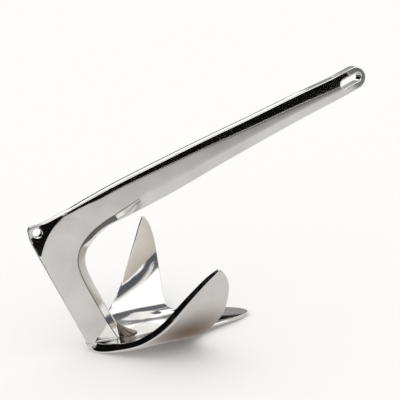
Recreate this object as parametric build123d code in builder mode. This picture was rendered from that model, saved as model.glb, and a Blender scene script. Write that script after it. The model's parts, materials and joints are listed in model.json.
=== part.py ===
from build123d import *
import os

"""Claw anchor for a small boat, in polished stainless steel.

The anchor stands on the sole of its three-lobed fluke. +X points from the crown towards the
shackle eye, +Y is port and +Z is up. The origin is on the ground, under the middle of the
anchor's length, and XZ is its plane of symmetry.

A cast fluke carries a bent shank. The shank's foot sits on the inside of the fluke's heel, and
four weld runs join the two: one down each side of the foot, one in the throat in front of it
and a short one over the heel behind it. Nothing on this anchor moves.
"""

# ---------------------------------------------------------------- driving dimensions, mm

# shank, seen from the side: points are (x, z)
# the short arm, as pairs of points: back edge, front edge; the first is inside the fluke's wall
short_arm = [
    ((-221.5, 7.0), (-161.0, 9.0)),
    ((-233.0, 39.0), (-177.0, 44.0)),
    ((-244.5, 71.0), (-188.5, 73.0)),
    ((-255.5, 102.0), (-200.0, 104.0)),
    ((-266.0, 131.5), (-207.5, 129.0)),
]
back_corner = (-286.5, 189.0)  # back edge, just under the corner
top_corner = (-264.0, 212.5)  # top edge, just behind the corner
corner_tip = (-288.3, 210.5)  # where back and top would meet if the corner were sharp
# inner side of the bend, and the angle above +X at which each point is seen from bend_centre
bend_centre = (-187.0, 142.0)
bend_fan = [
    (172.0, (-209.0, 146.0)),
    (160.0, (-206.5, 155.0)),
    (148.0, (-202.0, 163.5)),
    (136.0, (-194.0, 172.0)),
    (124.0, (-183.0, 181.0)),
    (112.0, (-168.0, 190.0)),
]
# the long arm, as pairs of points: top edge, lower edge
long_arm = [
    ((-166.0, 247.0), (-149.0, 196.5)),
    ((-83.0, 273.0), (-67.0, 222.0)),
    ((-2.0, 297.0), (13.0, 251.0)),
    ((82.0, 320.5), (96.0, 280.0)),
    ((168.0, 345.5), (181.0, 308.5)),
]

# shank, across its width: half widths, and bevels measured from the edge
flat_half = 9.5  # the sides at their thickest, along the inside of the bend
ridge_half = 9.8  # the ridge along each side of the long arm
eye_half = 9.0  # the flat sides round the slot
back_half = 4.5  # the short arm's back edge
back_shoulder = 6.5  # the sides just inside that edge
bend_shoulder = 8.6  # the sides at the outside of the bend
top_half = 7.6  # the long arm's top edge
top_shoulder = 9.2  # the sides just under that edge
throat_half = 5.0  # the inner edge, between its bevels
lower_half = 7.6  # the long arm's lower edge, past the end of the inner bevel
back_bevel = 4.0
top_bevel = 5.0
inner_bevel = 13.0
ridge_depth = 17.0  # the ridge's depth below the top edge at the eye; it starts at top_bevel

# shackle eye
eye_centre = (259.8, 353.2)
eye_angle = 19.0  # degrees that the arm rises at the eye
eye_reach = 28.0  # from the middle of the slot to the end of the arm
eye_radius = 18.2
neck_reach = 27.0  # from the middle of the slot back to the neck, where the ridge ends
neck_half = 18.4
slot_length = 38.0
slot_width = 13.0
slot_rim = 1.2  # how much thinner the edges round the eye are, on each side
eye_bevel = 2.0  # how far in from the outline that thinning starts

# trip line lug: the web in the outer corner, thinner than the bar
trip_centre = (-275.0, 200.5)
trip_diameter = 13.0
lug_half = 3.5
lug_back = (-272.0, 150.0)  # where the web runs into the bar, at its back and top edges
lug_top = (-220.0, 227.0)
lug_root = (-235.0, 180.0)  # inside the bar
lug_rounding = 9.0
lug_middle = 142.0  # the corner's direction from bend_centre, in degrees above +X
lug_inner = 90.0  # the bar's outer side is an arc of this radius about bend_centre
lug_outer = 108.0  # and it has thinned to the lug at this one

# fluke: ribs from the rear rim to the front rim, from the keel out to the claw's tip.
# Each is (rear point), (front point), thickness at the rear, in the middle and at the front.
keel_rib = ((-213.0, 0.0, 7.0), (45.2, 0.0, 2.6), 14.0, 9.0, 4.6)
claw_ribs = [
    ((-211.5, 11.0, 7.0), (41.5, 10.5, 3.0), 14.0, 9.0, 4.6),
    ((-207.0, 21.5, 7.6), (22.0, 23.8, 5.4), 13.6, 9.0, 4.8),
    ((-199.5, 33.0, 9.6), (-6.0, 34.0, 8.0), 13.2, 9.0, 5.0),
    ((-188.0, 48.0, 13.2), (-36.0, 43.0, 9.6), 12.8, 9.0, 5.2),
    ((-174.0, 64.5, 17.8), (-60.5, 57.0, 10.8), 12.4, 8.8, 5.4),
    ((-160.0, 78.0, 23.5), (-69.5, 74.0, 15.2), 12.0, 8.6, 5.6),
    ((-151.0, 87.5, 30.0), (-67.5, 91.5, 24.0), 11.7, 8.4, 5.6),
    ((-144.0, 95.0, 36.5), (-63.5, 107.5, 35.0), 11.4, 8.2, 5.6),
    ((-131.0, 108.5, 50.5), (-58.5, 126.0, 50.0), 10.8, 7.8, 5.4),
    ((-119.0, 120.5, 67.0), (-54.0, 142.0, 65.5), 10.2, 7.4, 5.2),
    ((-108.0, 131.0, 84.0), (-51.0, 156.0, 82.5), 9.6, 7.0, 5.0),
    ((-96.0, 141.5, 101.0), (-49.5, 166.5, 101.0), 8.8, 6.6, 4.8),
    ((-83.0, 153.5, 118.5), (-50.0, 174.5, 118.0), 8.0, 6.2, 4.6),
    ((-72.0, 165.0, 133.5), (-53.0, 178.5, 133.0), 7.0, 5.6, 4.4),
    ((-63.0, 174.0, 144.0), (-58.5, 178.0, 143.5), 4.4, 4.0, 3.6),
]
rim_bulge = 0.3  # how far the rear rim is rounded out, as a share of its thickness
dish = 0.006  # how far a claw's ribs sag below their chords, as a share of the chord
dish_start = 100.0  # nearer the keel than this the ribs sag less, and the sole stays flat

# weld runs
weld_root = 9.0  # the runs are drawn down to here, inside the fluke's wall
seat_level = 13.5  # the inside of the fluke under the foot
weld_overlap = 1.5  # how far a run is drawn into the shank before it is cut back to its face
side_leg = 12.0
side_run = (-216.0, -178.7)
throat_reach = (-178.0, -151.0)
throat_top = (-168.0, 31.0)
throat_weld_half = 9.0
heel_centre = (-220.0, 10.5)
heel_radius = 4.2
heel_half = 6.0

os.makedirs("parts", exist_ok=True)


def side_view(point):
    """The point (x, z) of the side view, as a point in space."""
    x, z, *_ = point
    return Vector(x, 0, z)


# ---------------------------------------------------------------- fluke


def mirrored(rib):
    """The same rib on the starboard side."""
    rear, front, *widths = rib
    return ((rear[0], -rear[1], rear[2]), (front[0], -front[1], front[2]), *widths)


ribs = [mirrored(rib) for rib in reversed(claw_ribs)] + [keel_rib] + claw_ribs


def rib_plane(index):
    """The plane a rib is drawn in: x along its chord, y out of the inside of the fluke."""
    rear, front = (Vector(*point) for point in ribs[index][:2])
    before = ribs[max(index - 1, 0)]
    after = ribs[min(index + 1, len(ribs) - 1)]
    along_rims = sum((Vector(*after[end]) - Vector(*before[end]) for end in (0, 1)), Vector())
    chord = front - rear
    normal = chord.cross(along_rims)
    return Plane(origin=rear, x_dir=chord, z_dir=chord.cross(normal))


with BuildPart() as fluke:
    for index, (rear, front, rear_width, mid_width, front_width) in enumerate(ribs):
        chord_length = (Vector(*front) - Vector(*rear)).length
        sag = dish * chord_length * min(1.0, abs(rear[1]) / dish_start) ** 3
        rim_start = (rim_bulge - 0.5) * rear_width
        with BuildSketch(rib_plane(index)):
            with BuildLine():
                inside = ThreePointArc(
                    (rim_start, rear_width / 2),
                    (chord_length / 2, mid_width / 2 - sag),
                    (chord_length, front_width / 2),
                )
                nose = ThreePointArc(
                    inside @ 1,
                    (chord_length + front_width / 2, 0),
                    (chord_length, -front_width / 2),
                )
                outside = ThreePointArc(
                    nose @ 1,
                    (chord_length / 2, -mid_width / 2 - sag),
                    (rim_start, -rear_width / 2),
                )
                ThreePointArc(outside @ 1, (-rear_width / 2, 0), inside @ 0)
            make_face()
    loft()

fluke.part.label = "fluke"
export_step(fluke.part, "parts/fluke.step")


# ---------------------------------------------------------------- shank


def eye_point(along, up):
    """A point of the side view, measured from the middle of the shackle eye along the arm."""
    return Vector(*eye_centre) + Vector(along, up).rotate(Axis.Z, eye_angle)


def reach_to_line(direction, start, end):
    """How far from bend_centre a ray meets the line through two points of the side view."""
    normal = (Vector(*end) - Vector(*start)).rotate(Axis.Z, 90).normalized()
    return (Vector(*start) - Vector(*bend_centre)).dot(normal) / direction.dot(normal)


# stations along the shank: outer point, inner point, outer bevel, inner bevel, and the half
# widths of the outer edge, the shoulder inside its bevel, the side and the inner edge
stations = []
for outer, inner in short_arm:
    widths = (back_half, back_shoulder, flat_half, throat_half)
    stations.append((outer, inner, back_bevel, inner_bevel, widths))
for angle, inner in bend_fan:
    direction = Vector(1, 0).rotate(Axis.Z, angle)
    if angle > lug_middle:
        reach = reach_to_line(direction, short_arm[0][0], back_corner)
    else:
        reach = reach_to_line(direction, long_arm[0][0], top_corner)
    facet = min(max(reach, lug_inner + back_bevel), lug_outer) - lug_inner
    outer_half = bend_shoulder - (bend_shoulder - lug_half) * facet / (lug_outer - lug_inner)
    outer = Vector(*bend_centre) + direction * min(reach, lug_outer)
    widths = (outer_half, bend_shoulder, flat_half, throat_half)
    stations.append((outer, inner, facet, inner_bevel, widths))
neck = (eye_point(-neck_reach, neck_half), eye_point(-neck_reach, -neck_half))
long_arm.append(neck)
for index, (outer, inner) in enumerate(long_arm):
    share = index / (len(long_arm) - 1)
    upper = top_bevel + (ridge_depth - top_bevel) * share
    shoulder = top_shoulder + (ridge_half - top_shoulder) * share
    side = flat_half + (ridge_half - flat_half) * share
    lower_edge = throat_half if index == 0 else lower_half
    stations.append((outer, inner, upper, inner_bevel, (top_half, shoulder, side, lower_edge)))
stations.append(
    (
        eye_point(0, eye_radius),
        eye_point(0, -eye_radius),
        eye_bevel,
        eye_radius - slot_width / 2,
        (eye_half - slot_rim, eye_half, eye_half, eye_half - slot_rim),
    )
)
bend_start = len(short_arm) - 1
arm_start = len(short_arm) + len(bend_fan) - 1
lengths = (stations[: bend_start + 1], stations[bend_start : arm_start + 1], stations[arm_start:])

with BuildPart() as shank:
    # the short arm, the bend and the long arm; only the long arm is straight between stations
    for length in lengths:
        for outer, inner, outer_depth, inner_depth, widths in length:
            across = side_view(inner) - side_view(outer)
            depths = (0, outer_depth, across.length - inner_depth, across.length)
            half_section = list(zip(depths, widths))
            plane = Plane(side_view(outer), x_dir=across, z_dir=across.cross(Vector(0, 1, 0)))
            with BuildSketch(plane):
                with BuildLine():
                    Polyline(*half_section, *((x, -y) for x, y in reversed(half_section)), close=True)
                make_face()
        loft(ruled=length is lengths[-1])

    # the lug in the corner
    with BuildSketch(Plane.XZ) as lug_outline:
        with BuildLine():
            Polyline(lug_back, back_corner, corner_tip, top_corner, lug_top, lug_root, close=True)
        make_face()
        fillet(lug_outline.vertices().sort_by_distance(corner_tip)[:1], lug_rounding)
    extrude(amount=lug_half, both=True)

    # the rounded end of the arm
    with BuildSketch(Plane.XZ):
        with BuildLine():
            Line(eye_point(0, -eye_radius), eye_point(0, eye_radius))
            Line(eye_point(0, eye_radius), eye_point(eye_reach - eye_radius, eye_radius))
            ThreePointArc(
                eye_point(eye_reach - eye_radius, eye_radius),
                eye_point(eye_reach, 0),
                eye_point(eye_reach - eye_radius, -eye_radius),
            )
            Line(eye_point(eye_reach - eye_radius, -eye_radius), eye_point(0, -eye_radius))
        make_face()
    extrude(amount=eye_half, both=True)

    # the slot for the shackle and the hole for the trip line
    with BuildSketch(Plane.XZ):
        with Locations(eye_centre):
            SlotOverall(slot_length, slot_width, rotation=eye_angle)
        with Locations(trip_centre):
            Circle(trip_diameter / 2)
    extrude(amount=flat_half * 2, both=True, mode=Mode.SUBTRACT)

    # the foot is fitted to the inside of the fluke
    add(fluke.part, mode=Mode.SUBTRACT)
shank.part.label = "shank"
export_step(shank.part, "parts/shank.step")


# ---------------------------------------------------------------- weld runs

# the side of the foot widens from the back edge's shoulder to the crease at its front
foot_back, foot_front = short_arm[0]
side_widening = (flat_half - back_shoulder) / (
    foot_front[0] - inner_bevel - foot_back[0] - back_bevel
)
side_start = back_shoulder + side_widening * (side_run[0] - foot_back[0] - back_bevel)
side_direction = Vector(1, side_widening, 0)

with BuildPart() as port_root_weld:
    foot_side = Plane((side_run[0], side_start, 0), x_dir=(-side_widening, 1, 0), z_dir=side_direction)
    with BuildSketch(foot_side):
        with BuildLine():
            Polyline(
                (-weld_overlap, weld_root),
                (-weld_overlap, seat_level + side_leg + weld_overlap),
                (side_leg, seat_level),
                (side_leg, weld_root),
                close=True,
            )
        make_face()
    extrude(amount=side_run[1] - side_run[0])
    add(fluke.part, mode=Mode.SUBTRACT)
    add(shank.part, mode=Mode.SUBTRACT)
port_root_weld.part.label = "port_root_weld"
export_step(port_root_weld.part, "parts/port_root_weld.step")

with BuildPart() as starboard_root_weld:
    add(port_root_weld.part.mirror(Plane.XZ))
starboard_root_weld.part.label = "starboard_root_weld"
export_step(starboard_root_weld.part, "parts/starboard_root_weld.step")

with BuildPart() as throat_weld:
    with BuildSketch(Plane.XZ):
        with BuildLine():
            Polyline(
                (throat_reach[0], weld_root),
                (throat_reach[0], throat_top[1]),
                throat_top,
                (throat_reach[1], seat_level),
                (throat_reach[1], weld_root),
                close=True,
            )
        make_face()
    extrude(amount=throat_weld_half, both=True)
    add(fluke.part, mode=Mode.SUBTRACT)
    add(shank.part, mode=Mode.SUBTRACT)
throat_weld.part.label = "throat_weld"
export_step(throat_weld.part, "parts/throat_weld.step")

with BuildPart() as heel_weld:
    with BuildSketch(Plane.XZ):
        with Locations(heel_centre):
            Circle(heel_radius)
    extrude(amount=heel_half, both=True)
    add(fluke.part, mode=Mode.SUBTRACT)
    add(shank.part, mode=Mode.SUBTRACT)
heel_weld.part.label = "heel_weld"
export_step(heel_weld.part, "parts/heel_weld.step")
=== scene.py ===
import json
import math

import bmesh
import bpy
import numpy as np
from mathutils import Matrix, Vector
from mathutils.bvhtree import BVHTree
from mathutils.kdtree import KDTree


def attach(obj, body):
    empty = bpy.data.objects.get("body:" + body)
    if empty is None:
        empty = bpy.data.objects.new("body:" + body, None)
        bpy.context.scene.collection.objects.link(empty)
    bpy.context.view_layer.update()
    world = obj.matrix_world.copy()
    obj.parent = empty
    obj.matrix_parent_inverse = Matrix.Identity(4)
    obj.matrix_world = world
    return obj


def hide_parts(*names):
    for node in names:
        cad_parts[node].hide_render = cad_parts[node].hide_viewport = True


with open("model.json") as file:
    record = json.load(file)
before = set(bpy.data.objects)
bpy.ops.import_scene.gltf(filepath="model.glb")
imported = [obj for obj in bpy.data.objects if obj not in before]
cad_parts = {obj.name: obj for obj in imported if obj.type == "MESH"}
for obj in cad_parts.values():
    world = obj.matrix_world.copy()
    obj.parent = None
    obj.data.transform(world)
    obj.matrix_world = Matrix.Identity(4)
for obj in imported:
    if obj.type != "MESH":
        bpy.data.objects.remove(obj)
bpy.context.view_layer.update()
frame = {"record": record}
mounts = {mount["name"]: mount for mount in frame["record"]["mounts"]}

# the drawing is in mm, and Blender is in metres
MM = 0.001
MERGE_DISTANCE = 0.004 * MM


# ---------------------------------------------------------------- curves through points


def spline(knots, values, stiffness=0.0):
    """A natural cubic spline near the values, and through them at stiffness 0."""
    knots = np.asarray(knots, float)
    values = np.asarray(values, float).reshape(len(knots), -1)
    steps = np.diff(knots)
    inner = len(knots) - 2
    second = np.zeros((len(knots), inner))
    band = np.zeros((inner, inner))
    for i in range(inner):
        second[i, i] = 1 / steps[i]
        second[i + 1, i] = -1 / steps[i] - 1 / steps[i + 1]
        second[i + 2, i] = 1 / steps[i + 1]
        band[i, i] = (steps[i] + steps[i + 1]) / 3
        if i + 1 < inner:
            band[i, i + 1] = band[i + 1, i] = steps[i + 1] / 6
    curvature = np.linalg.solve(band + stiffness * second.T @ second, second.T @ values)
    fitted = values - stiffness * second @ curvature
    curvature = np.vstack([np.zeros(values.shape[1]), curvature, np.zeros(values.shape[1])])

    def at(where):
        where = np.atleast_1d(np.asarray(where, float))
        i = np.clip(np.searchsorted(knots, where, side="right") - 1, 0, len(steps) - 1)
        step = steps[i][:, None]
        b = ((where - knots[i])[:, None]) / step
        a = 1 - b
        bend = ((a**3 - a) * curvature[i] + (b**3 - b) * curvature[i + 1]) * step**2 / 6
        return a * fitted[i] + b * fitted[i + 1] + bend

    return at


def lengths_along(points):
    points = np.asarray(points, float)
    return np.concatenate([[0], np.cumsum(np.linalg.norm(np.diff(points, axis=0), axis=1))])


def smoothstep(low, high, value):
    t = np.clip((value - low) / (high - low), 0, 1)
    return t * t * (3 - 2 * t)


# ---------------------------------------------------------------- mesh building


class Skin:
    """Faces gathered from grids of points in mm, welded where their edges meet."""

    def __init__(self):
        self.mesh = bmesh.new()

    def grid(self, rows, mirror=False, wrap=False):
        rows = [[np.asarray(p, float) * (1, -1 if mirror else 1, 1) for p in row] for row in rows]
        made = [[self.mesh.verts.new(p * MM) for p in row] for row in rows]
        for first, second in zip(made, made[1:]):
            count = len(first)
            for i in range(count if wrap else count - 1):
                j = (i + 1) % count
                self.mesh.faces.new((first[i], first[j], second[j], second[i]))
        return made

    def cap(self, loop):
        self.mesh.faces.new(loop)

    def merge(self):
        bmesh.ops.remove_doubles(self.mesh, verts=self.mesh.verts, dist=MERGE_DISTANCE)

    def piece(self, name):
        self.merge()
        bmesh.ops.dissolve_degenerate(self.mesh, edges=self.mesh.edges, dist=MERGE_DISTANCE)
        bmesh.ops.recalc_face_normals(self.mesh, faces=self.mesh.faces)
        data = bpy.data.meshes.new(name)
        self.mesh.to_mesh(data)
        self.mesh.free()
        data.shade_smooth()
        made = bpy.data.objects.new(name, data)
        bpy.context.scene.collection.objects.link(made)
        return made


def closed_piece(name, rows):
    """A tube of rings, closed at both ends."""
    skin = Skin()
    made = skin.grid(rows, wrap=True)
    skin.cap(made[0])
    skin.cap(made[-1][::-1])
    return skin.piece(name)


# ---------------------------------------------------------------- fluke

# ribs from the keel out to the claw's tip: rear point, front point, and the thickness at the rear
# rim, in the middle and at the front rim
keel_rib = (-213.0, 0.0, 7.0, 45.2, 0.0, 2.6, 14.0, 9.0, 4.6)
claw_ribs = [
    (-211.5, 11.0, 7.0, 41.5, 10.5, 3.0, 14.0, 9.0, 4.6),
    (-207.0, 21.5, 7.6, 22.0, 23.8, 5.4, 13.6, 9.0, 4.8),
    (-199.5, 33.0, 9.6, -6.0, 34.0, 8.0, 13.2, 9.0, 5.0),
    (-188.0, 48.0, 13.2, -36.0, 43.0, 9.6, 12.8, 9.0, 5.2),
    (-174.0, 64.5, 17.8, -60.5, 57.0, 10.8, 12.4, 8.8, 5.4),
    (-160.0, 78.0, 23.5, -69.5, 74.0, 15.2, 12.0, 8.6, 5.6),
    (-151.0, 87.5, 30.0, -67.5, 91.5, 24.0, 11.7, 8.4, 5.6),
    (-144.0, 95.0, 36.5, -63.5, 107.5, 35.0, 11.4, 8.2, 5.6),
    (-131.0, 108.5, 50.5, -58.5, 126.0, 50.0, 10.8, 7.8, 5.4),
    (-119.0, 120.5, 67.0, -54.0, 142.0, 65.5, 10.2, 7.4, 5.2),
    (-108.0, 131.0, 84.0, -51.0, 156.0, 82.5, 9.6, 7.0, 5.0),
    (-96.0, 141.5, 101.0, -49.5, 166.5, 101.0, 8.8, 6.6, 4.8),
    (-83.0, 153.5, 118.5, -50.0, 174.5, 118.0, 8.0, 6.2, 4.6),
    (-72.0, 165.0, 133.5, -53.0, 178.5, 133.0, 7.0, 5.6, 4.4),
    (-63.0, 174.0, 144.0, -58.5, 178.0, 143.5, 4.4, 4.0, 3.6),
]
# how far a rib sags below its chord, as a share of the chord. It reaches this at DISH_START, in mm
# from the keel
DISH = 0.006
DISH_START = 100.0
DISH_FADE = 3
RIB_STEP = 2.4
RIB_STIFFNESS = 60.0
INSIDE_POINTS = 44
RIM_POINTS = 18
FRONT_RIM_SQUARENESS = 2.2
# the rear rim is a flat face: how many degrees it is turned, down towards the outside of the
# fluke, at these distances from the keel, and how much of its thickness the edges round off
RIM_TURN_AT = (0.0, 40.0, 90.0, 120.0)
RIM_TURN = (-30.0, -26.0, 8.0, 36.0)
RIM_BACK = 0.46
RIM_INNER_ROUNDING = 0.08
RIM_OUTER_ROUNDING = 0.34

port = np.array(claw_ribs)
starboard = port[::-1] * (1, -1, 1, 1, -1, 1, 1, 1, 1)
ribs = np.vstack([starboard, [keel_rib], port])
rib_knots = (lengths_along(ribs[:, :3]) + lengths_along(ribs[:, 3:6])) / 2
rib_at = spline(rib_knots, ribs, RIB_STIFFNESS)
rib_count = int(rib_knots[-1] / RIB_STEP) | 1
dense_ribs = rib_at(np.linspace(0, rib_knots[-1], rib_count))


def front_rim(radius):
    """Half of a superellipse, from +v round by +u to -v."""
    angles = np.linspace(math.pi / 2, -math.pi / 2, RIM_POINTS)
    power = 2 / FRONT_RIM_SQUARENESS
    u = radius * np.abs(np.cos(angles)) ** power
    v = radius * np.sign(np.sin(angles)) * np.abs(np.sin(angles)) ** power
    return np.stack([u, v], 1)


def rounding_curve(before, corner, after, share):
    return before * (1 - share) ** 2 + corner * 2 * share * (1 - share) + after * share**2


def bent(before, corner, after, count):
    """Points of a curve that rounds a corner."""
    return rounding_curve(before, corner, after, np.linspace(0, 1, count)[:, None])


def rib_outline(length, rear, middle, front, sag, turn):
    """The closed outline of one rib: u along its chord, v out of the inside of the fluke."""
    share = np.linspace(0, 1, INSIDE_POINTS)
    bow = 4 * share * (1 - share)
    half = rear / 2 * (1 - share) + front / 2 * share
    half += bow * (middle / 2 - (rear + front) / 4)
    lean = rear * math.tan(turn)
    inner_corner = np.array((-RIM_BACK * rear - min(lean, 0.0), rear / 2))
    outer_corner = np.array((inner_corner[0] + lean, -rear / 2))
    down = (outer_corner - inner_corner) / np.linalg.norm(outer_corner - inner_corner)
    forward = np.array((1.0, 0.0))
    inner_rounding = RIM_INNER_ROUNDING * rear
    outer_rounding = RIM_OUTER_ROUNDING * rear
    inner_start = inner_corner + forward * inner_rounding
    outer_start = outer_corner + forward * outer_rounding
    face_top = inner_corner + down * inner_rounding
    face_foot = outer_corner - down * outer_rounding
    tail = np.vstack([
        bent(outer_start, outer_corner, face_foot, RIM_POINTS),
        np.linspace(face_foot, face_top, RIM_POINTS // 2)[1:-1],
        bent(face_top, inner_corner, inner_start, RIM_POINTS // 2),
    ])
    nose = front_rim(front / 2) + (length, 0.0)
    u_inside = inner_start[0] + share * (length - inner_start[0])
    u_outside = outer_start[0] + share * (length - outer_start[0])
    inside = np.stack([u_inside, half - sag * bow], 1)
    outside = np.stack([u_outside, -half - sag * bow], 1)[::-1]
    return np.vstack([inside, nose[1:-1], outside, tail[1:-1]])


def fluke_sections():
    sections = []
    for i, rib in enumerate(dense_ribs):
        rear, front = rib[:3], rib[3:6]
        before = dense_ribs[max(i - 1, 0)]
        after = dense_ribs[min(i + 1, rib_count - 1)]
        along = (after - before)[:3] + (after - before)[3:6]
        chord = front - rear
        length = np.linalg.norm(chord)
        chord = chord / length
        normal = np.cross(chord, along)
        normal /= np.linalg.norm(normal)
        sag = DISH * length * min(1.0, abs(rear[1]) / DISH_START) ** DISH_FADE
        turn = math.radians(np.interp(abs(rear[1]), RIM_TURN_AT, RIM_TURN))
        outline = rib_outline(length, rib[6], rib[7], rib[8], sag, turn)
        sections.append(rear + outline[:, :1] * chord + outline[:, 1:] * normal)
    return sections


TIP_ROUNDING = 2.6
TIP_RINGS = 5
TIP_LAST_SHRINK = 0.02


def rounded_tip(section, neighbour):
    """Rings that close the end of a claw with a rounded tip."""
    middle = section.mean(axis=0)
    outward = middle - neighbour.mean(axis=0)
    outward /= np.linalg.norm(outward)
    rings = []
    for angle in np.linspace(0, math.pi / 2, TIP_RINGS + 1)[1:]:
        shrink = max(math.cos(angle), TIP_LAST_SHRINK)
        moved = outward * TIP_ROUNDING * math.sin(angle)
        rings.append(middle + (section - middle) * shrink + moved)
    return rings


sections = fluke_sections()
first_tip = rounded_tip(sections[0], sections[1])[::-1]
last_tip = rounded_tip(sections[-1], sections[-2])
fluke = closed_piece("cast_fluke", first_tip + sections + last_tip)


# ---------------------------------------------------------------- shank

# side view points, (x, z) in mm
BACK_FOOT = (-221.5, 7.0)
BACK_CORNER = (-286.5, 189.0)
CORNER_TIP = (-288.3, 210.5)
TOP_CORNER = (-264.0, 212.5)
LUG_TOP = (-220.0, 227.0)
BEND_CENTRE = np.array((-187.0, 142.0))
back_levels = [7.0, 39.0, 71.0, 102.0, 131.5]
INNER_STIFFNESS = 120.0
TOP_STIFFNESS = 100.0
inner_edge = [
    (-161.0, 9.0),
    (-177.0, 44.0),
    (-188.5, 73.0),
    (-200.0, 104.0),
    (-207.5, 129.0),
    (-209.0, 146.0),
    (-206.5, 155.0),
    (-202.0, 163.5),
    (-194.0, 172.0),
    (-183.0, 181.0),
    (-168.0, 190.0),
    (-149.0, 196.5),
    (-67.0, 222.0),
    (13.0, 251.0),
    (96.0, 280.0),
    (181.0, 308.5),
]
top_edge = [(-166.0, 247.0), (-83.0, 273.0), (-2.0, 297.0), (82.0, 320.5), (168.0, 345.5)]
fan_angles = (172.0, 112.0)
fan_pairs = 6

EYE_ANGLE = math.radians(19.0)
EYE_REACH = 28.0
EYE_RADIUS = 18.2
NECK_REACH = 27.0
NECK_HALF = 18.4
SLOT_HALF_LENGTH = 19.0
SLOT_HALF_WIDTH = 6.5
EYE_HALF = 9.0

eye_centre = np.array(mounts["shackle_slot"]["pos_m"])[[0, 2]] / MM
trip_centre = np.array(mounts["trip_line_hole"]["pos_m"])[[0, 2]] / MM
trip_radius = mounts["trip_line_hole"]["dims"]["r_mm"]
eye_along = np.array((math.cos(EYE_ANGLE), math.sin(EYE_ANGLE)))
eye_up = np.array((-math.sin(EYE_ANGLE), math.cos(EYE_ANGLE)))


def eye_point(along, up):
    return eye_centre + along * eye_along + up * eye_up


top_edge.append(tuple(eye_point(-NECK_REACH, NECK_HALF)))
inner_edge.append(tuple(eye_point(-NECK_REACH, -NECK_HALF)))

# the outer edge round the lug, as a distance from the bend's centre for each direction
corner_points = np.array([BACK_FOOT, BACK_CORNER, CORNER_TIP, TOP_CORNER, LUG_TOP, *top_edge[:2]])
corner_run = lengths_along(corner_points)
OUTLINE_STEP = 0.5
CORNER_SIGMA = 4.2  # how softly its corners are rounded
outline_run = np.arange(0, corner_run[-1], OUTLINE_STEP)
outline = np.stack([np.interp(outline_run, corner_run, corner_points[:, i]) for i in (0, 1)], 1)
reach = int(4 * CORNER_SIGMA / OUTLINE_STEP)
kernel = np.exp(-0.5 * (np.arange(-reach, reach + 1) * OUTLINE_STEP / CORNER_SIGMA) ** 2)
kernel /= kernel.sum()
padded = np.vstack([outline[:1]] * reach + [outline] + [outline[-1:]] * reach)
outline = np.stack([np.convolve(padded[:, i], kernel, "valid") for i in (0, 1)], 1)
rays = outline - BEND_CENTRE
ray_angles = np.degrees(np.arctan2(rays[:, 1], rays[:, 0])) % 360
ray_reaches = np.linalg.norm(rays, axis=1)
ray_order = np.argsort(ray_angles)


def outer_in_direction(angle):
    distance = np.interp(angle, ray_angles[ray_order], ray_reaches[ray_order])
    direction = np.array((math.cos(math.radians(angle)), math.sin(math.radians(angle))))
    return BEND_CENTRE + distance * direction


inner_knots = lengths_along(inner_edge)
inner_curve = spline(inner_knots, inner_edge, INNER_STIFFNESS)
arm_top = [outer_in_direction(fan_angles[1])] + top_edge
top_knots = lengths_along(arm_top)
top_curve = spline(top_knots, arm_top, TOP_STIFFNESS)
fan_start = len(back_levels)
arm_start = fan_start + fan_pairs
last_pair = len(inner_edge) - 1


def station(k):
    """Outer and inner point of the shank at pair number k, which may lie between two pairs."""
    inner = inner_curve(np.interp(k, np.arange(len(inner_knots)), inner_knots))[0]
    fan_last = arm_start - 1
    if k <= fan_start:
        first_hit = outer_in_direction(fan_angles[0])
        levels = back_levels + [first_hit[1]]
        z = np.interp(k, np.arange(fan_start + 1), levels)
        x = np.interp(z, [BACK_FOOT[1], first_hit[1]], [BACK_FOOT[0], first_hit[0]])
        outer = np.array((x, z))
    elif k <= fan_last:
        angle = np.interp(k, [fan_start, fan_last], fan_angles)
        outer = outer_in_direction(angle)
    else:
        outer = top_curve(np.interp(k - fan_last, np.arange(len(top_knots)), top_knots))[0]
    return outer, inner


# section of the shank, in half widths and in depths from its outer edge. The short arm's back is
# listed as corners: depth, half width and rounding
BACK_SECTION = [(0.0, 4.6, 1.6), (2.0, 5.4, 0.3), (4.0, 6.4, 3.0)]
# the facet towards the lug lies between these distances from the bend's centre
LUG_INNER = 90.0
LUG_OUTER = 108.0
LUG_HALF = 3.5
LUG_ROUNDINGS = (1.3, 1.2, 1.0)
LEAST_FACET = 4.0
WEB_SHARE = 0.3
BEND_SHOULDER = 8.6
LUG_SLOPE = (BEND_SHOULDER - LUG_HALF) / (LUG_OUTER - LUG_INNER)
# the long arm's upper facet, which widens towards the eye
UPPER_AT_BEND = 5.0
UPPER_WIDENING = 11.5
ARM_TOP_AT_BEND = 8.0
ARM_TOP_HALF = 7.6
ARM_TOP_NARROWING = 2.5
SHOULDER_AT_BEND = 9.1
RIDGE_HALF = 9.8
ARM_ROUNDINGS = (1.9, 0.5, 1.2)
RIDGE_SOFTENING = 5.0
TOP_CROWN = 0.48
CROWN_FADE = (0.75, 0.95)
# the sides and the inner bevel
FLAT_HALF = 9.5
INNER_BEVEL = 13.0
BEVEL_NARROWING = 6.0
THROAT_HALF = 5.0
LOWER_HALF = 7.4
LOWER_WIDENING = 1.6
CREASE_SOFTNESS = 0.7
CREASE_SOFTENING = 7.0
STRIP_ROUNDING = 0.4
EDGE_ROUNDING = 2.0
# shares of a pair number over which one part of the shank runs into the next
BEND_BLEND = 0.45
ARM_BLEND = (0.6, 0.2)
POINT_BLEND = 0.05
PAST_POINT = 0.4
# the inner bevel narrows to a point between these pair numbers, counted from arm_start
POINT_START = -0.08
POINT_END = 0.49
POINT_DEPTH = 19.3
POINT_EDGE = 6.2
POINT_RISE = 3.4
EDGE_STRIP = 4.5
LEAST_BEVEL = 3.0
LEAST_SIDE = 1.0


def mixed(first, second, share):
    """Corners part of the way from one section's to another's."""
    return [tuple(np.array(a) * (1 - share) + np.array(b) * share) for a, b in zip(first, second)]


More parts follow.
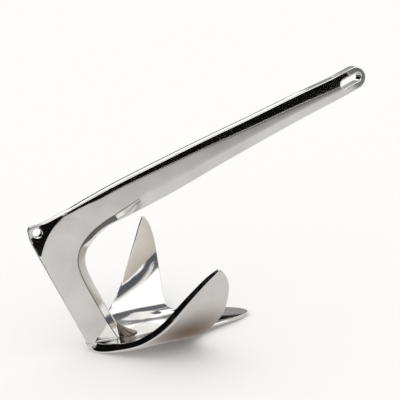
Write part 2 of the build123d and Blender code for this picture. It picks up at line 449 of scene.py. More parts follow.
def half_profile(k, outer, inner):
    """Corners of half the shank's section, as (depth, half width, rounding)."""
    depth = float(np.linalg.norm(inner - outer))
    fan_last = arm_start - 1
    along = max(0.0, (k - fan_last) / (last_pair - fan_last))
    in_bend = float(smoothstep(fan_start - BEND_BLEND, fan_start, k))
    in_arm = float(smoothstep(fan_last - ARM_BLEND[0], arm_start + ARM_BLEND[1], k))
    # the bend, with its lug
    out = float(np.linalg.norm(outer - BEND_CENTRE))
    facet = min(max(out, LUG_INNER + LEAST_FACET), LUG_OUTER) - LUG_INNER
    edge_half = BEND_SHOULDER - LUG_SLOPE * facet
    start = max(out - LUG_OUTER, 0.0)
    web = max(start, WEB_SHARE * facet)
    web_half = edge_half if start >= WEB_SHARE * facet else edge_half + LUG_SLOPE * (web - start)
    lug = list(zip((0.0, web, start + facet), (edge_half, web_half, BEND_SHOULDER), LUG_ROUNDINGS))
    # the long arm
    upper = UPPER_AT_BEND + UPPER_WIDENING * along
    narrowed = min(1.0, ARM_TOP_NARROWING * along)
    top_half = ARM_TOP_AT_BEND + (ARM_TOP_HALF - ARM_TOP_AT_BEND) * narrowed
    shoulder = SHOULDER_AT_BEND + (RIDGE_HALF - SHOULDER_AT_BEND) * along
    top_rounding, facet_rounding, ridge_rounding = ARM_ROUNDINGS
    arm = [
        (0.0, top_half, top_rounding),
        (upper / 2, (top_half + shoulder) / 2, facet_rounding),
        (upper, shoulder, ridge_rounding + RIDGE_SOFTENING * along),
    ]
    corners = mixed(mixed(BACK_SECTION, lug, in_bend), arm, in_arm)
    # past the bend the inner bevel narrows to a point, between its crease and a second edge
    start, end = arm_start + POINT_START, arm_start + POINT_END
    narrowing = float(np.clip((k - start) / (end - start), 0, 1))
    ended = float(smoothstep(start - POINT_BLEND, start, k))
    past = float(smoothstep(end, end + PAST_POINT, k))
    bevel = INNER_BEVEL + (POINT_DEPTH - INNER_BEVEL) * narrowing - BEVEL_NARROWING * along
    bevel = min(bevel, depth - corners[2][0] - LEAST_SIDE)
    side_half = FLAT_HALF + (RIDGE_HALF - FLAT_HALF) * along
    strip = min(max(bevel * narrowing, EDGE_STRIP), bevel - LEAST_BEVEL)
    edge = THROAT_HALF + (POINT_EDGE - THROAT_HALF) * ended
    edge += (LOWER_HALF - POINT_EDGE) * min(1.0, LOWER_WIDENING * narrowing)
    in_line = edge + (side_half - edge) * strip / bevel
    on_point = POINT_EDGE + POINT_RISE * strip / POINT_DEPTH
    pointed = ended * (1 - past)
    corners.append((depth - bevel, side_half, CREASE_SOFTNESS + CREASE_SOFTENING * past))
    corners.append((depth - strip, in_line * (1 - pointed) + on_point * pointed, STRIP_ROUNDING))
    corners.append((depth, edge, EDGE_ROUNDING))
    # the long arm's top is a little crowned
    crown = TOP_CROWN * in_arm * (1 - float(smoothstep(*CROWN_FADE, along)))
    return [(-crown, 0.0, 0.0)] + corners + [(depth, 0.0, 0.0)]


# points on each straight run of the section, from its outer edge to its inner one
RUN_SAMPLES = (5, 2, 4, 8, 6, 3, 5)
CORNER_SAMPLES = 6
CORNER_LIMIT = 0.45  # a corner's rounding takes at most this share of a run


def sample_profile(corners):
    """Points (depth, half) along a half section with its corners rounded off."""
    points = np.array([c[:2] for c in corners])
    radii = [c[2] for c in corners]
    made = [points[0]]
    previous = points[0]
    for i in range(1, len(points) - 1):
        to_before = points[i - 1] - points[i]
        to_after = points[i + 1] - points[i]
        before = points[i] + to_before * min(radii[i] / np.linalg.norm(to_before), CORNER_LIMIT)
        after = points[i] + to_after * min(radii[i] / np.linalg.norm(to_after), CORNER_LIMIT)
        for share in np.linspace(0, 1, RUN_SAMPLES[i - 1] + 1)[1:]:
            made.append(previous + (before - previous) * share)
        for share in np.linspace(0, 1, CORNER_SAMPLES + 1)[1:]:
            made.append(rounding_curve(before, points[i], after, share))
        previous = after
    for share in np.linspace(0, 1, RUN_SAMPLES[-1] + 1)[1:]:
        made.append(previous + (points[-1] - previous) * share)
    return np.array(made)


first_corner_end = RUN_SAMPLES[0] + CORNER_SAMPLES
last_corner_start = sum(RUN_SAMPLES[:6]) + 5 * CORNER_SAMPLES

ARM_STEP = 3.0
BEND_STEP = 1.4
counts = []
for k in range(last_pair):
    a = station(k)
    b = station(k + 1)
    span = max(np.linalg.norm(a[0] - b[0]), np.linalg.norm(a[1] - b[1]))
    step = BEND_STEP if fan_start - 1 <= k <= arm_start else ARM_STEP
    counts.append(np.linspace(k, k + 1, int(span / step) + 1, endpoint=False))
station_numbers = np.concatenate(counts + [[float(last_pair)]])

bar_rows = []
for k in station_numbers:
    outer, inner = station(k)
    across = (inner - outer) / np.linalg.norm(inner - outer)
    profile = sample_profile(half_profile(k, outer, inner))
    flat = outer + profile[:, :1] * across
    bar_rows.append(np.stack([flat[:, 0], -profile[:, 1], flat[:, 1]], 1))
neck_profile = profile

# the eye: rings from its outline to the slot
EDGE_ROUND = 1.9
SLOT_ROUND = 2.4
WALL_SAMPLES = RUN_SAMPLES[0]
SIDE_POINTS = 22
ARC_POINTS = 34
RINGS = 9
RIDGE_FADE = (-14.0, 9.0)
NECK_EDGE = 2.5


def eye_height(along, up):
    """Half width of the eye: the arm's ridge fades into a flat end."""
    flatness = smoothstep(*RIDGE_FADE, along)
    depth = np.clip(NECK_HALF - up, NECK_EDGE, 2 * NECK_HALF - NECK_EDGE)
    ridge = np.interp(depth, neck_profile[:, 0], neck_profile[:, 1])
    return (1 - flatness) * ridge + flatness * EYE_HALF


def eye_xyz(along, up, half):
    x, z = eye_point(along, up)
    return (x, -half, z)


# the outline of the eye, as (along, up) and the direction out of it
ARC_START = EYE_REACH - EYE_RADIUS
bottom = []
for along in np.linspace(-NECK_REACH, ARC_START, SIDE_POINTS):
    half = np.interp(along, [-NECK_REACH, ARC_START], [NECK_HALF, EYE_RADIUS])
    bottom.append((along, -half, 0.0, -1.0))
arc = []
for angle in np.linspace(-math.pi / 2, math.pi / 2, ARC_POINTS)[1:-1]:
    c, s = math.cos(angle), math.sin(angle)
    arc.append((ARC_START + EYE_RADIUS * c, EYE_RADIUS * s, c, s))
rim_points = bottom + arc + [(a, -u, n, -m) for a, u, n, m in reversed(bottom)]
slot_straight = SLOT_HALF_LENGTH - SLOT_HALF_WIDTH


def slot_target(index):
    """The point of the slot's edge that faces a point of the outer loop, with its normal."""
    left = last_corner_start - first_corner_end
    if index < left:
        angle = math.pi / 2 + math.pi * index / left
        c, s = math.cos(angle), math.sin(angle)
        return (-slot_straight + SLOT_HALF_WIDTH * c, SLOT_HALF_WIDTH * s, c, s)
    index -= left
    if index < SIDE_POINTS:
        share = index / (SIDE_POINTS - 1)
        return (-slot_straight + 2 * slot_straight * share, -SLOT_HALF_WIDTH, 0.0, -1.0)
    index -= SIDE_POINTS
    if index < ARC_POINTS - 2:
        angle = -math.pi / 2 + math.pi * (index + 1) / (ARC_POINTS - 1)
        c, s = math.cos(angle), math.sin(angle)
        return (slot_straight + SLOT_HALF_WIDTH * c, SLOT_HALF_WIDTH * s, c, s)
    index -= ARC_POINTS - 2
    share = index / (SIDE_POINTS - 1)
    return (slot_straight - 2 * slot_straight * share, SLOT_HALF_WIDTH, 0.0, 1.0)


neck_row = bar_rows[-1]
rim_columns = []
for index, (a, u, n, m) in enumerate(rim_points):
    if index == 0:
        rim_columns.append(list(neck_row[last_corner_start:][::-1]))
        continue
    if index == len(rim_points) - 1:
        rim_columns.append(list(neck_row[: first_corner_end + 1]))
        continue
    half = float(eye_height(a, u - m * EDGE_ROUND))
    straight = half - EDGE_ROUND
    column = [eye_xyz(a, u, straight * share) for share in np.linspace(0, 1, WALL_SAMPLES + 1)]
    for share in np.linspace(0, 1, CORNER_SAMPLES + 1)[1:]:
        turn = share * math.pi / 2
        inset = EDGE_ROUND * (1 - math.cos(turn))
        height = straight + EDGE_ROUND * math.sin(turn)
        column.append(eye_xyz(a - n * inset, u - m * inset, height))
    rim_columns.append(column)

outer_loop = [neck_row[j] for j in range(first_corner_end, last_corner_start)]
outer_loop += [column[-1] for column in rim_columns[:-1]]


def eye_local(point):
    flat = np.array((point[0], point[2])) - eye_centre
    return float(flat @ eye_along), float(flat @ eye_up)


ring_columns = []
for index, point in enumerate(outer_loop):
    a0, u0 = eye_local(point)
    a1, u1, n, m = slot_target(index)
    a1r, u1r = a1 + n * SLOT_ROUND, u1 + m * SLOT_ROUND
    column = [tuple(point)]
    start_gap = -point[1] - float(eye_height(a0, u0))
    for share in np.linspace(0, 1, RINGS + 1)[1:]:
        a, u = a0 + (a1r - a0) * share, u0 + (u1r - u0) * share
        column.append(eye_xyz(a, u, float(eye_height(a, u)) + start_gap * (1 - share) ** 2))
    half = float(eye_height(a1r, u1r))
    for share in np.linspace(0, 1, CORNER_SAMPLES + 1)[1:]:
        turn = share * math.pi / 2
        inset = SLOT_ROUND * math.sin(turn)
        height = half - SLOT_ROUND * (1 - math.cos(turn))
        column.append(eye_xyz(a1r - n * inset, u1r - m * inset, height))
    for share in np.linspace(1, 0, WALL_SAMPLES + 1)[1:]:
        column.append(eye_xyz(a1, u1, (half - SLOT_ROUND) * share))
    ring_columns.append(column)

shank_skin = Skin()
foot_loops = []
for mirror in (False, True):
    made = shank_skin.grid(bar_rows, mirror=mirror)
    foot_loops.append(made[0])
    shank_skin.grid(rim_columns, mirror=mirror)
    shank_skin.grid(ring_columns + [ring_columns[0]], mirror=mirror)
shank_skin.cap(foot_loops[0] + foot_loops[1][-2:0:-1])

# the trip line hole: the faces round it give way to a ring with a rounded edge
shank_skin.merge()
bm = shank_skin.mesh
HOLE_CLEAR = 2.6
HOLE_POINTS = 48
# the rounded edge, as what it adds to the hole's radius and how deep it is there
HOLE_EDGE = ((1.5, 0.0), (0.9, 0.15), (0.4, 0.5), (0.1, 1.0), (0.0, 1.6))
NEAR_HOLE = 4 * trip_radius
OFF_MIDDLE = 0.5 * MM


def from_hole(co):
    return math.hypot(co.x / MM - trip_centre[0], co.z / MM - trip_centre[1])


def lug_half(x, z):
    distance = math.hypot(x - BEND_CENTRE[0], z - BEND_CENTRE[1])
    return LUG_HALF + max(0.0, LUG_OUTER - distance) * LUG_SLOPE


doomed = []
for face in bm.faces:
    distances = [from_hole(v.co) for v in face.verts]
    if min(distances) < trip_radius + HOLE_CLEAR and max(distances) < NEAR_HOLE:
        doomed.append(face)
bmesh.ops.delete(bm, geom=doomed, context="FACES")
walls = []
for side in (-1, 1):
    loose = []
    for edge in bm.edges:
        on_side = all(v.co.y * side > OFF_MIDDLE for v in edge.verts)
        if edge.is_boundary and on_side and all(from_hole(v.co) < NEAR_HOLE for v in edge.verts):
            loose.append(edge)
    rings = []
    for offset, drop in HOLE_EDGE:
        ring = []
        for i in range(HOLE_POINTS):
            angle = 2 * math.pi * i / HOLE_POINTS
            x = trip_centre[0] + (trip_radius + offset) * math.cos(angle)
            z = trip_centre[1] + (trip_radius + offset) * math.sin(angle)
            ring.append(bm.verts.new((x * MM, side * (lug_half(x, z) - drop) * MM, z * MM)))
        rings.append(ring)
    for first, second in zip(rings, rings[1:]):
        for i in range(HOLE_POINTS):
            j = (i + 1) % HOLE_POINTS
            bm.faces.new((first[i], first[j], second[j], second[i]))
    outer_edges = []
    for vertex in rings[0]:
        for edge in vertex.link_edges:
            if edge.is_boundary and edge.other_vert(vertex) in rings[0] and edge not in outer_edges:
                outer_edges.append(edge)
    bmesh.ops.bridge_loops(bm, edges=loose + outer_edges)
    walls.append(rings[-1])
for i in range(HOLE_POINTS):
    j = (i + 1) % HOLE_POINTS
    bm.faces.new((walls[0][i], walls[0][j], walls[1][j], walls[1][i]))
shank = shank_skin.piece("forged_shank")

# painted shade in the crease of the inner bevel and along the edge of its point, and a band of painted
# dark reflection up the bend's bevel, kept as a darkness for each vertex
CREASE_FIRST = sum(RUN_SAMPLES[:4]) + 3 * CORNER_SAMPLES + 1
CREASE_LAST = CREASE_FIRST + CORNER_SAMPLES - 1
POINT_FIRST = CREASE_LAST + RUN_SAMPLES[4] + 1
BEVEL_LAST = CREASE_LAST + RUN_SAMPLES[4] + CORNER_SAMPLES + RUN_SAMPLES[5]
# where the band of painted dark reflection runs up the bend
PAINTED_BAND_GAP = 0.03
PAINTED_BAND_START = fan_start + 1.0
PAINTED_BAND_END = arm_start + POINT_START - PAINTED_BAND_GAP
# how dark the painted shade in the crease, the painted reflection band and the painted shade along the
# point's edge make the steel
CREASE_PAINTED_SHADE = 0.7
BAND_PAINTED_REFLECTION = 0.92
POINT_PAINTED_SHADE = 0.45
# the painted reflection band widens up the bend, to a little more than the bevel's width
PAINTED_BAND_WIDTH = 1.1
PAINTED_BAND_WIDENING = 0.7
PAINTED_BAND_FADE = 0.12
PAINTED_SHADE_SNAP = 0.05


def painted_shade_at(k, column):
    """How dark the painted shade and the painted reflection make the surface at pair number k, in one
    column of the half section.
    """
    if k > arm_start + POINT_END:
        return 0.0
    tone = CREASE_PAINTED_SHADE if CREASE_FIRST <= column <= CREASE_LAST else 0.0
    if k > arm_start + POINT_START and POINT_FIRST <= column < POINT_FIRST + CORNER_SAMPLES:
        tone = POINT_PAINTED_SHADE
    if CREASE_FIRST <= column <= BEVEL_LAST and PAINTED_BAND_START < k < PAINTED_BAND_END:
        across = (column - CREASE_FIRST) / (BEVEL_LAST - CREASE_FIRST)
        risen = (k - PAINTED_BAND_START) / (PAINTED_BAND_END - PAINTED_BAND_START)
        width = PAINTED_BAND_WIDTH * risen**PAINTED_BAND_WIDENING
        tone = max(tone, BAND_PAINTED_REFLECTION * float(1 - smoothstep(width - PAINTED_BAND_FADE, width, across)))
    return tone


# the points where painted shade and painted reflection darken the shank
painted_shade_points = []
for k, row in zip(station_numbers, bar_rows):
    for column, point in enumerate(row):
        tone = painted_shade_at(k, column)
        if tone > 0:
            painted_shade_points.append((point, tone))
painted_shade_tree = KDTree(len(painted_shade_points))
for i, (point, tone) in enumerate(painted_shade_points):
    painted_shade_tree.insert(Vector(point), i)
painted_shade_tree.balance()
# the painted shade and painted reflection, kept on the shank as its tone attribute
painted_shade_layer = shank.data.attributes.new("tone", "FLOAT", "POINT")
for vertex, item in zip(shank.data.vertices, painted_shade_layer.data):
    where = vertex.co / MM
    _, i, distance = painted_shade_tree.find(Vector((where.x, -abs(where.y), where.z)))
    item.value = painted_shade_points[i][1] if distance < PAINTED_SHADE_SNAP else 0.0


# ---------------------------------------------------------------- welds

fluke_tree = BVHTree.FromObject(fluke, bpy.context.evaluated_depsgraph_get())
ABOVE_FLUKE = 0.3
SEAT_LEVEL = 13.5
FOOT_ROWS = 40
foot_rows = np.array(bar_rows[:FOOT_ROWS])


def fluke_inside(x, y):
    """Height of the inside of the fluke, in mm."""
    hit = fluke_tree.ray_cast(Vector((x * MM, y * MM, ABOVE_FLUKE)), Vector((0, 0, -1)))[0]
    return hit.z / MM if hit is not None else SEAT_LEVEL


def foot_side(x, z):
    """Half width of the foot of the shank, in mm."""
    row = foot_rows[np.argmin(np.abs(foot_rows[:, :, 2].mean(axis=1) - z))]
    order = np.argsort(row[:, 0])
    return float(np.interp(x, row[order, 0], -row[order, 1]))


# the runs down the sides of the foot. Rise is how far a run comes up the shank and spread how far
# out on the fluke: each is its value at the heel, then what it gains on the way to the throat
SIDE_RUN = (-219.0, -172.0)
SIDE_LEVEL = 14.0
SIDE_STEPS = 40
SIDE_RISE = (1.8, 1.6)
SIDE_SPREAD = (1.8, 2.4)
SIDE_TAPER = 4.0
SIDE_ENDS = (0.08, 1.04)
FILLET_POINTS = 12
FILLET_HOLLOW = 0.62
FILLET_DROP = 1.8
SUNK = 1.5  # how deep the hidden side of a run lies in the fluke
IN_SHANK = 1.2  # and in the shank
IN_FACE = 0.1  # how deep its visible edges lie in the shank
IN_SEAT = 0.25  # and in the fluke
ABOVE_EDGE = 0.4
TUCK = 0.6


def side_fillet(name, side):
    rows = []
    for i, x in enumerate(np.linspace(*SIDE_RUN, SIDE_STEPS)):
        share = i / (SIDE_STEPS - 1)
        taper = min(1.0, SIDE_TAPER * min(share + SIDE_ENDS[0], SIDE_ENDS[1] - share))
        rise = (SIDE_RISE[0] + SIDE_RISE[1] * share) * taper
        spread = (SIDE_SPREAD[0] + SIDE_SPREAD[1] * share) * taper
        foot = foot_side(x, SIDE_LEVEL)
        low_y = foot + spread
        floor = fluke_inside(x, low_y)
        top = fluke_inside(x, foot) + rise
        row = [(x, foot - IN_SHANK, floor - SUNK), (x, foot - IN_SHANK, top + ABOVE_EDGE)]
        for t in np.linspace(0, 1, FILLET_POINTS):
            bend = 1 - (1 - t) ** FILLET_DROP
            y = foot - IN_FACE + (low_y - foot) * (1 - (1 - t) ** FILLET_HOLLOW)
            z = top + (floor - IN_SEAT - top) * bend**FILLET_HOLLOW
            row.append((x, y, z))
        row.append((x, low_y - TUCK, floor - SUNK))
        rows.append([(px, py * side, pz) for px, py, pz in row])
    return closed_piece(name, rows)


port_fillet = side_fillet("port_root_fillet", 1)
starboard_fillet = side_fillet("starboard_root_fillet", -1)

# the run in the throat: it spreads from a point up the inner edge to a wide foot on the fluke
THROAT_LEVELS = 30
THROAT_POINTS = 25
THROAT_TOP = 47.0
THROAT_FLOOR = 12.5
THROAT_REACH = 21.0
THROAT_TOP_REACH = 0.3
THROAT_HOLLOW = 2.3
THROAT_WIDENING = 7.5
THROAT_TOP_HALF = 4.4
THROAT_FLARE = 2.0
THROAT_ROUNDNESS = 0.9
THROAT_BACK_SHARE = 0.8
THROAT_COVER = 4.0
THROAT_BACK = 9.0
inner_x, inner_z = np.array(inner_edge[:3]).T


def throat_fillet():
    rows = []
    for level in np.linspace(0, 1, THROAT_LEVELS):
        z = THROAT_FLOOR + (THROAT_TOP - THROAT_FLOOR) * level
        shank_x = np.interp(z, inner_z, inner_x)
        reach = THROAT_REACH * (1 - level) ** THROAT_HOLLOW + THROAT_TOP_REACH
        half = THROAT_TOP_HALF + THROAT_WIDENING * (1 - level) ** THROAT_FLARE
        row = []
        for angle in np.linspace(-math.pi / 2, math.pi / 2, THROAT_POINTS):
            out = (THROAT_COVER + reach) * math.cos(angle) ** THROAT_ROUNDNESS
            row.append((shank_x - THROAT_COVER + out, half * math.sin(angle), z))
        back_half = half * THROAT_BACK_SHARE
        row += [(shank_x - THROAT_BACK, back_half, z), (shank_x - THROAT_BACK, -back_half, z)]
        rows.append(row)
    return closed_piece("throat_fillet", rows)


throat = throat_fillet()

# the short run over the heel
HEEL_CENTRE = (-220.4, 11.6)
HEEL_RADIUS = 3.9
HEEL_HALF = 6.0
HEEL_SWELL_HALF = 6.2
HEEL_SWELL = 0.7
HEEL_END_RADIUS = 0.05
HEEL_RIPPLE = 0.05
HEEL_RIPPLE_RATE = 3.1
HEEL_RINGS = 21
HEEL_POINTS = 24


def heel_bead():
    rows = []
    for y in np.linspace(-HEEL_HALF, HEEL_HALF, HEEL_RINGS):
        swell = math.sqrt(1 - (y / HEEL_SWELL_HALF) ** 2) ** HEEL_SWELL
        ripple = 1 + HEEL_RIPPLE * math.sin(y * HEEL_RIPPLE_RATE)
        r = HEEL_RADIUS * swell * ripple + HEEL_END_RADIUS
        row = []
        for angle in np.linspace(0, 2 * math.pi, HEEL_POINTS, endpoint=False):
            row.append((HEEL_CENTRE[0] + r * math.cos(angle), y, HEEL_CENTRE[1] + r * math.sin(angle)))
        rows.append(row)
    return closed_piece("heel_weld_bead", rows)


heel = heel_bead()


# ---------------------------------------------------------------- materials

# the dark colour that the shank's painted shade and painted dark reflection blend the steel towards
PAINTED_SHADE_COLOUR = (0.06, 0.054, 0.046)
SMUDGED = 0.86  # how much darker a smudge is
GRAIN_HEIGHT = 0.0000011
SCRATCH_HEIGHT = 0.0000013
ARM_SLOPE = math.radians(-17.5)  # the grain runs along the long arm


def steel(name, tint, rough_low, rough_high, ripple, grain_direction):
    """Polished steel: long waves from hand polishing, fine scratches, smudges and specks."""
    material = bpy.data.materials.new(name)
    material.use_nodes = True
    tree = material.node_tree
    nodes, links = tree.nodes, tree.links
    shader = nodes["Principled BSDF"]
    shader.inputs["Metallic"].default_value = 1.0
    where = nodes.new("ShaderNodeTexCoord")

    def noise(scale, detail, stretch=(1, 1, 1)):
        mapping = nodes.new("ShaderNodeMapping")
        mapping.inputs["Scale"].default_value = stretch
        mapping.inputs["Rotation"].default_value = (0, ARM_SLOPE, 0)
        links.new(where.outputs["Object"], mapping.inputs["Vector"])
        texture = nodes.new("ShaderNodeTexNoise")
        texture.inputs["Scale"].default_value = scale
        texture.inputs["Detail"].default_value = detail
        links.new(mapping.outputs["Vector"], texture.inputs["Vector"])
        return texture.outputs["Fac"]

    def ramp(source, low, high, low_value, high_value):
        mapped = nodes.new("ShaderNodeMapRange")
        mapped.inputs["From Min"].default_value = low
        mapped.inputs["From Max"].default_value = high
        mapped.inputs["To Min"].default_value = low_value
        mapped.inputs["To Max"].default_value = high_value
        links.new(source, mapped.inputs["Value"])
        return mapped.outputs["Result"]

    smudges = noise(22.0, 5.0)
    scratches = noise(420.0, 3.0, grain_direction)
    grain = noise(1500.0, 2.0, grain_direction)
    waves = noise(26.0, 1.0)
    specks = noise(900.0, 1.0)

    tone = nodes.new("ShaderNodeMix")
    tone.data_type = "RGBA"
    tone.inputs["A"].default_value = (*tint, 1)
    tone.inputs["B"].default_value = (*(c * SMUDGED for c in tint), 1)
    links.new(ramp(smudges, 0.35, 0.75, 0.0, 1.0), tone.inputs["Factor"])
    # painted shade and a painted dark reflection: the shank's tone attribute darkens the colour here
    painted_shade_attribute = nodes.new("ShaderNodeAttribute")
    painted_shade_attribute.attribute_name = "tone"
    with_painted_shade = nodes.new("ShaderNodeMix")
    with_painted_shade.data_type = "RGBA"
    with_painted_shade.inputs["B"].default_value = (*PAINTED_SHADE_COLOUR, 1)
    links.new(painted_shade_attribute.outputs["Fac"], with_painted_shade.inputs["Factor"])
    links.new(tone.outputs["Result"], with_painted_shade.inputs["A"])
    links.new(with_painted_shade.outputs["Result"], shader.inputs["Base Color"])

    rough = nodes.new("ShaderNodeMath")
    rough.operation = "ADD"
    links.new(ramp(smudges, 0.3, 0.75, rough_low, rough_high), rough.inputs[0])
    links.new(ramp(scratches, 0.62, 0.8, 0.0, 0.12), rough.inputs[1])
    pitted = nodes.new("ShaderNodeMath")
    pitted.operation = "ADD"
    links.new(rough.outputs["Value"], pitted.inputs[0])
    links.new(ramp(specks, 0.72, 0.82, 0.0, 0.06), pitted.inputs[1])
    links.new(pitted.outputs["Value"], shader.inputs["Roughness"])

    normal = None
    for height, distance in ((waves, ripple), (grain, GRAIN_HEIGHT), (scratches, SCRATCH_HEIGHT)):
        bump = nodes.new("ShaderNodeBump")
        bump.inputs["Strength"].default_value = 1.0
        bump.inputs["Distance"].default_value = distance
        links.new(height, bump.inputs["Height"])
        if normal is not None:
            links.new(normal, bump.inputs["Normal"])
        normal = bump.outputs["Normal"]
    links.new(normal, shader.inputs["Normal"])
    return material


STEEL = (0.77, 0.76, 0.745)
GROUND_STEEL = (0.70, 0.69, 0.67)
HEAT_TINTED = (0.19, 0.165, 0.145)
EVEN = (1.0, 1.0, 1.0)
shank_steel = steel("mirror_steel_shank", STEEL, 0.07, 0.13, 0.00012, (0.06, 1.0, 1.0))
fluke_steel = steel("mirror_steel_fluke", STEEL, 0.06, 0.12, 0.00018, (0.3, 0.3, 1.0))
weld_steel = steel("ground_weld_steel", GROUND_STEEL, 0.16, 0.3, 0.0003, EVEN)
throat_steel = steel("heat_tinted_weld_steel", HEAT_TINTED, 0.18, 0.34, 0.0004, EVEN)

for piece, material, node, slot in (
    (fluke, fluke_steel, "fluke", "polished_steel"),
    (shank, shank_steel, "shank", "polished_steel"),
    (port_fillet, weld_steel, "port_root_weld", "ground_weld"),
    (starboard_fillet, weld_steel, "starboard_root_weld", "ground_weld"),
    (throat, throat_steel, "throat_weld", "ground_weld"),
    (heel, weld_steel, "heel_weld", "ground_weld"),
):
    piece.data.materials.append(material)
    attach(piece, "root")
    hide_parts(node)


# ---------------------------------------------------------------- studio


FLOOR_HALF = 90.0
FLOOR_COLOUR = (0.66, 0.655, 0.65, 1.0)
floor_mesh = bpy.data.meshes.new("studio_floor")
floor_corners = [(x * FLOOR_HALF, y * FLOOR_HALF, 0) for x, y in ((-1, -1), (1, -1), (1, 1), (-1, 1))]
floor_mesh.from_pydata(floor_corners, [], [(0, 1, 2, 3)])
floor_material = bpy.data.materials.new("pale_floor")
floor_material.use_nodes = True
floor_shader = floor_material.node_tree.nodes["Principled BSDF"]
floor_shader.inputs["Base Color"].default_value = FLOOR_COLOUR
floor_shader.inputs["Roughness"].default_value = 0.9
floor_shader.inputs["Specular IOR Level"].default_value = 0.0
floor_mesh.materials.append(floor_material)
floor = bpy.data.objects.new("studio_floor", floor_mesh)
bpy.context.scene.collection.objects.link(floor)


def card(name, verts, faces, colours):
    """A glowing card that only reflections see, with a colour for each corner."""
    mesh = bpy.data.meshes.new(name)
    mesh.from_pydata(verts, [], faces)
    layer = mesh.color_attributes.new("glow", "FLOAT_COLOR", "POINT")
    for item, colour in zip(layer.data, colours):
        item.color = (*colour, 1.0)
    material = bpy.data.materials.new(name)
    material.use_nodes = True
    nodes, links = material.node_tree.nodes, material.node_tree.links
    nodes.clear()
    output = nodes.new("ShaderNodeOutputMaterial")
    glow = nodes.new("ShaderNodeEmission")
    shade = nodes.new("ShaderNodeAttribute")
    shade.attribute_name = "glow"
    links.new(shade.outputs["Color"], glow.inputs["Color"])
    links.new(glow.outputs["Emission"], output.inputs["Surface"])
    made = bpy.data.objects.new(name, mesh)
    mesh.materials.append(material)
    bpy.context.scene.collection.objects.link(made)
    made.visible_camera = False
    made.visible_diffuse = False
    made.visible_shadow = False
    made.visible_transmission = False


BLACK = (0.004, 0.004, 0.004)
SLATE = (0.11, 0.12, 0.14)
GREY = (0.36, 0.36, 0.36)
DARK_GREY = (0.16, 0.165, 0.175)
BEIGE = (0.80, 0.76, 0.69)
DARK_BEIGE = (0.6, 0.55, 0.5)
FLOOR_LIGHT = (0.80, 0.778, 0.766)
CLAW_SHADOW_BROWN = (0.19, 0.14, 0.11)
CARD_CENTRE = Vector((-0.05, 0.0, 0.2))
BEND_CARD_CENTRE = Vector((-0.22, 0.0, 0.2))
CARD_STEPS = 48


def wander(turn):
    """An uneven line, between about -1 and 1."""
    waves = ((0.5, 7.0, 0.6), (0.3, 17.0, 2.1), (0.2, 41.0, 0.0))
    return sum(size * math.sin(rate * turn + start) for size, rate, start in waves)


def flag(name, azimuths, elevations, colour, distance=5.0, centre=CARD_CENTRE, ragged=0.0, top=None):
    """A card bent round the anchor. Azimuth 0 is towards -Y and 90 towards +X."""
    verts, faces, colours = [], [], []
    for i in range(CARD_STEPS + 1):
        azimuth = math.radians(azimuths[0] + (azimuths[1] - azimuths[0]) * i / CARD_STEPS)
        uneven = ragged * wander(azimuth)
        low = math.radians(elevations[0] + uneven)
        high = math.radians(elevations[1] + (uneven if elevations[1] < 90 else 0))
        for j in range(CARD_STEPS + 1):
            share = j / CARD_STEPS
            elevation = low + (high - low) * share
            outward = Vector((math.sin(azimuth), -math.cos(azimuth), 0)) * math.cos(elevation)
            outward.z = math.sin(elevation)
            verts.append(centre + distance * outward)
            colours.append([c * (1 - share) + d * share for c, d in zip(colour, top or colour)])
    for i in range(CARD_STEPS):
        for j in range(CARD_STEPS):
            k = i * (CARD_STEPS + 1) + j
            faces.append((k, k + 1, k + CARD_STEPS + 2, k + CARD_STEPS + 1))
    card(name, verts, faces, colours)


flag("front_flag", (-34, 7.5), (-11.4, 24), BLACK, distance=1.0, centre=BEND_CARD_CENTRE)
flag("front_right_flag", (-12, 36), (-2, 20), BLACK)
flag("left_flag", (-176, -62), (-2, 44), BLACK)
flag("front_left_flag", (-62, -36), (8, 27), BLACK)
flag("back_flag", (158, 192), (-2, 17), BLACK)
flag("back_right_low_flag", (138, 158.3), (-2, 38), GREY, distance=5.2)
flag("back_right_high_flag", (136, 161), (38, 57), DARK_GREY, distance=5.2, ragged=3.5)
flag("right_flag", (54, 114), (-2, 26), BEIGE, distance=5.2, top=DARK_BEIGE)
flag("right_slate_flag", (46, 78), (26, 47), SLATE, distance=5.2, ragged=5.0)
flag("overhead_flag", (-180, 180), (69, 90), SLATE, distance=4.0, ragged=3.5)
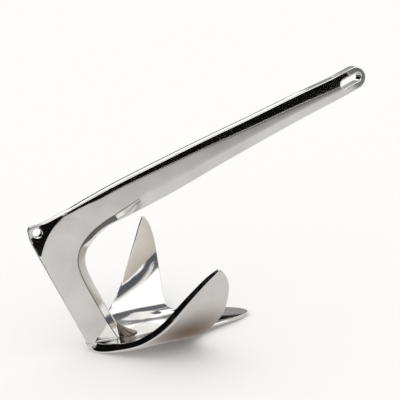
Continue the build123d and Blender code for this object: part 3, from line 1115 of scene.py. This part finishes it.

# the floor as reflections see it: light near the anchor, dark further off in front and to the left,
# and a brown painted shadow below each claw
FLOOR_FRONT_AT = (0.0, 0.8, 1.3, 2.6, 4.5)
FLOOR_FRONT = (1.0, 0.97, 0.74, 0.27, 0.04)
FLOOR_LEFT_AT = (0.0, 0.28, 0.45, 4.5)
FLOOR_LEFT = (1.0, 1.0, 0.15, 0.02)
# the painted shadow below each claw: its centre and its reach
CLAW_SHADE = (-0.085, 0.095)
CLAW_SHADE_REACH = 0.07
FRONT_STARTS = (-88, -72)
FRONT_ENDS = (38, 54)
ABOVE_FLOOR = 0.0004
floor_radii = [0.0] + [0.012 * 1.085**i for i in range(73)]
floor_spokes = 120
verts, faces, colours = [], [], []
for radius in floor_radii:
    for i in range(floor_spokes):
        azimuth = 360.0 * i / floor_spokes - 180.0
        a = math.radians(azimuth)
        x, y = radius * math.sin(a), -radius * math.cos(a)
        verts.append((x, y, ABOVE_FLOOR))
        on_left = float(1 - smoothstep(*FRONT_STARTS, azimuth))
        in_front = float((1 - on_left) * (1 - smoothstep(*FRONT_ENDS, azimuth)))
        light = 1 - in_front * (1 - np.interp(radius, FLOOR_FRONT_AT, FLOOR_FRONT))
        light -= on_left * (1 - np.interp(radius, FLOOR_LEFT_AT, FLOOR_LEFT))
        gap = math.hypot(x - CLAW_SHADE[0], abs(y) - CLAW_SHADE[1])
        brown = math.exp(-((gap / CLAW_SHADE_REACH) ** 2))
        colours.append([(c * (1 - brown) + d * brown) * light for c, d in zip(FLOOR_LIGHT, CLAW_SHADOW_BROWN)])
for r in range(len(floor_radii) - 1):
    for i in range(floor_spokes):
        j = (i + 1) % floor_spokes
        k = r * floor_spokes
        faces.append((k + i, k + j, k + floor_spokes + j, k + floor_spokes + i))
card("reflected_floor", verts, faces, colours)

world = bpy.data.worlds.new("soft_white_dome")
bpy.context.scene.world = world
world.use_nodes = True
background = world.node_tree.nodes["Background"]
background.inputs["Color"].default_value = (1.0, 0.995, 0.985, 1)
background.inputs["Strength"].default_value = 1.5

bpy.context.scene.view_settings.view_transform = "Standard"
bpy.context.scene.cycles.max_bounces = 16
bpy.context.scene.cycles.glossy_bounces = 12

# ---------------------------------------------------------------- camera

AZIMUTH = math.radians(-19.648)
ELEVATION = math.radians(14.196)
ROLL = math.radians(-5.830)
DISTANCE = 1.4774
TARGET = Vector((-0.0151, 0.0, 0.2026))
back = Vector((
    math.sin(AZIMUTH) * math.cos(ELEVATION),
    -math.cos(AZIMUTH) * math.cos(ELEVATION),
    math.sin(ELEVATION),
))
level = Vector((math.cos(AZIMUTH), math.sin(AZIMUTH), 0.0))
above = back.cross(level)
right = level * math.cos(ROLL) + above * math.sin(ROLL)
up = above * math.cos(ROLL) - level * math.sin(ROLL)
camera_data = bpy.data.cameras.new("camera")
camera_data.lens = 85.0
camera_data.sensor_width = 36.0
camera = bpy.data.objects.new("camera", camera_data)
turned = Matrix((right, up, back)).transposed().to_4x4()
camera.matrix_world = Matrix.Translation(TARGET + back * DISTANCE) @ turned
bpy.context.scene.collection.objects.link(camera)
bpy.context.scene.camera = camera
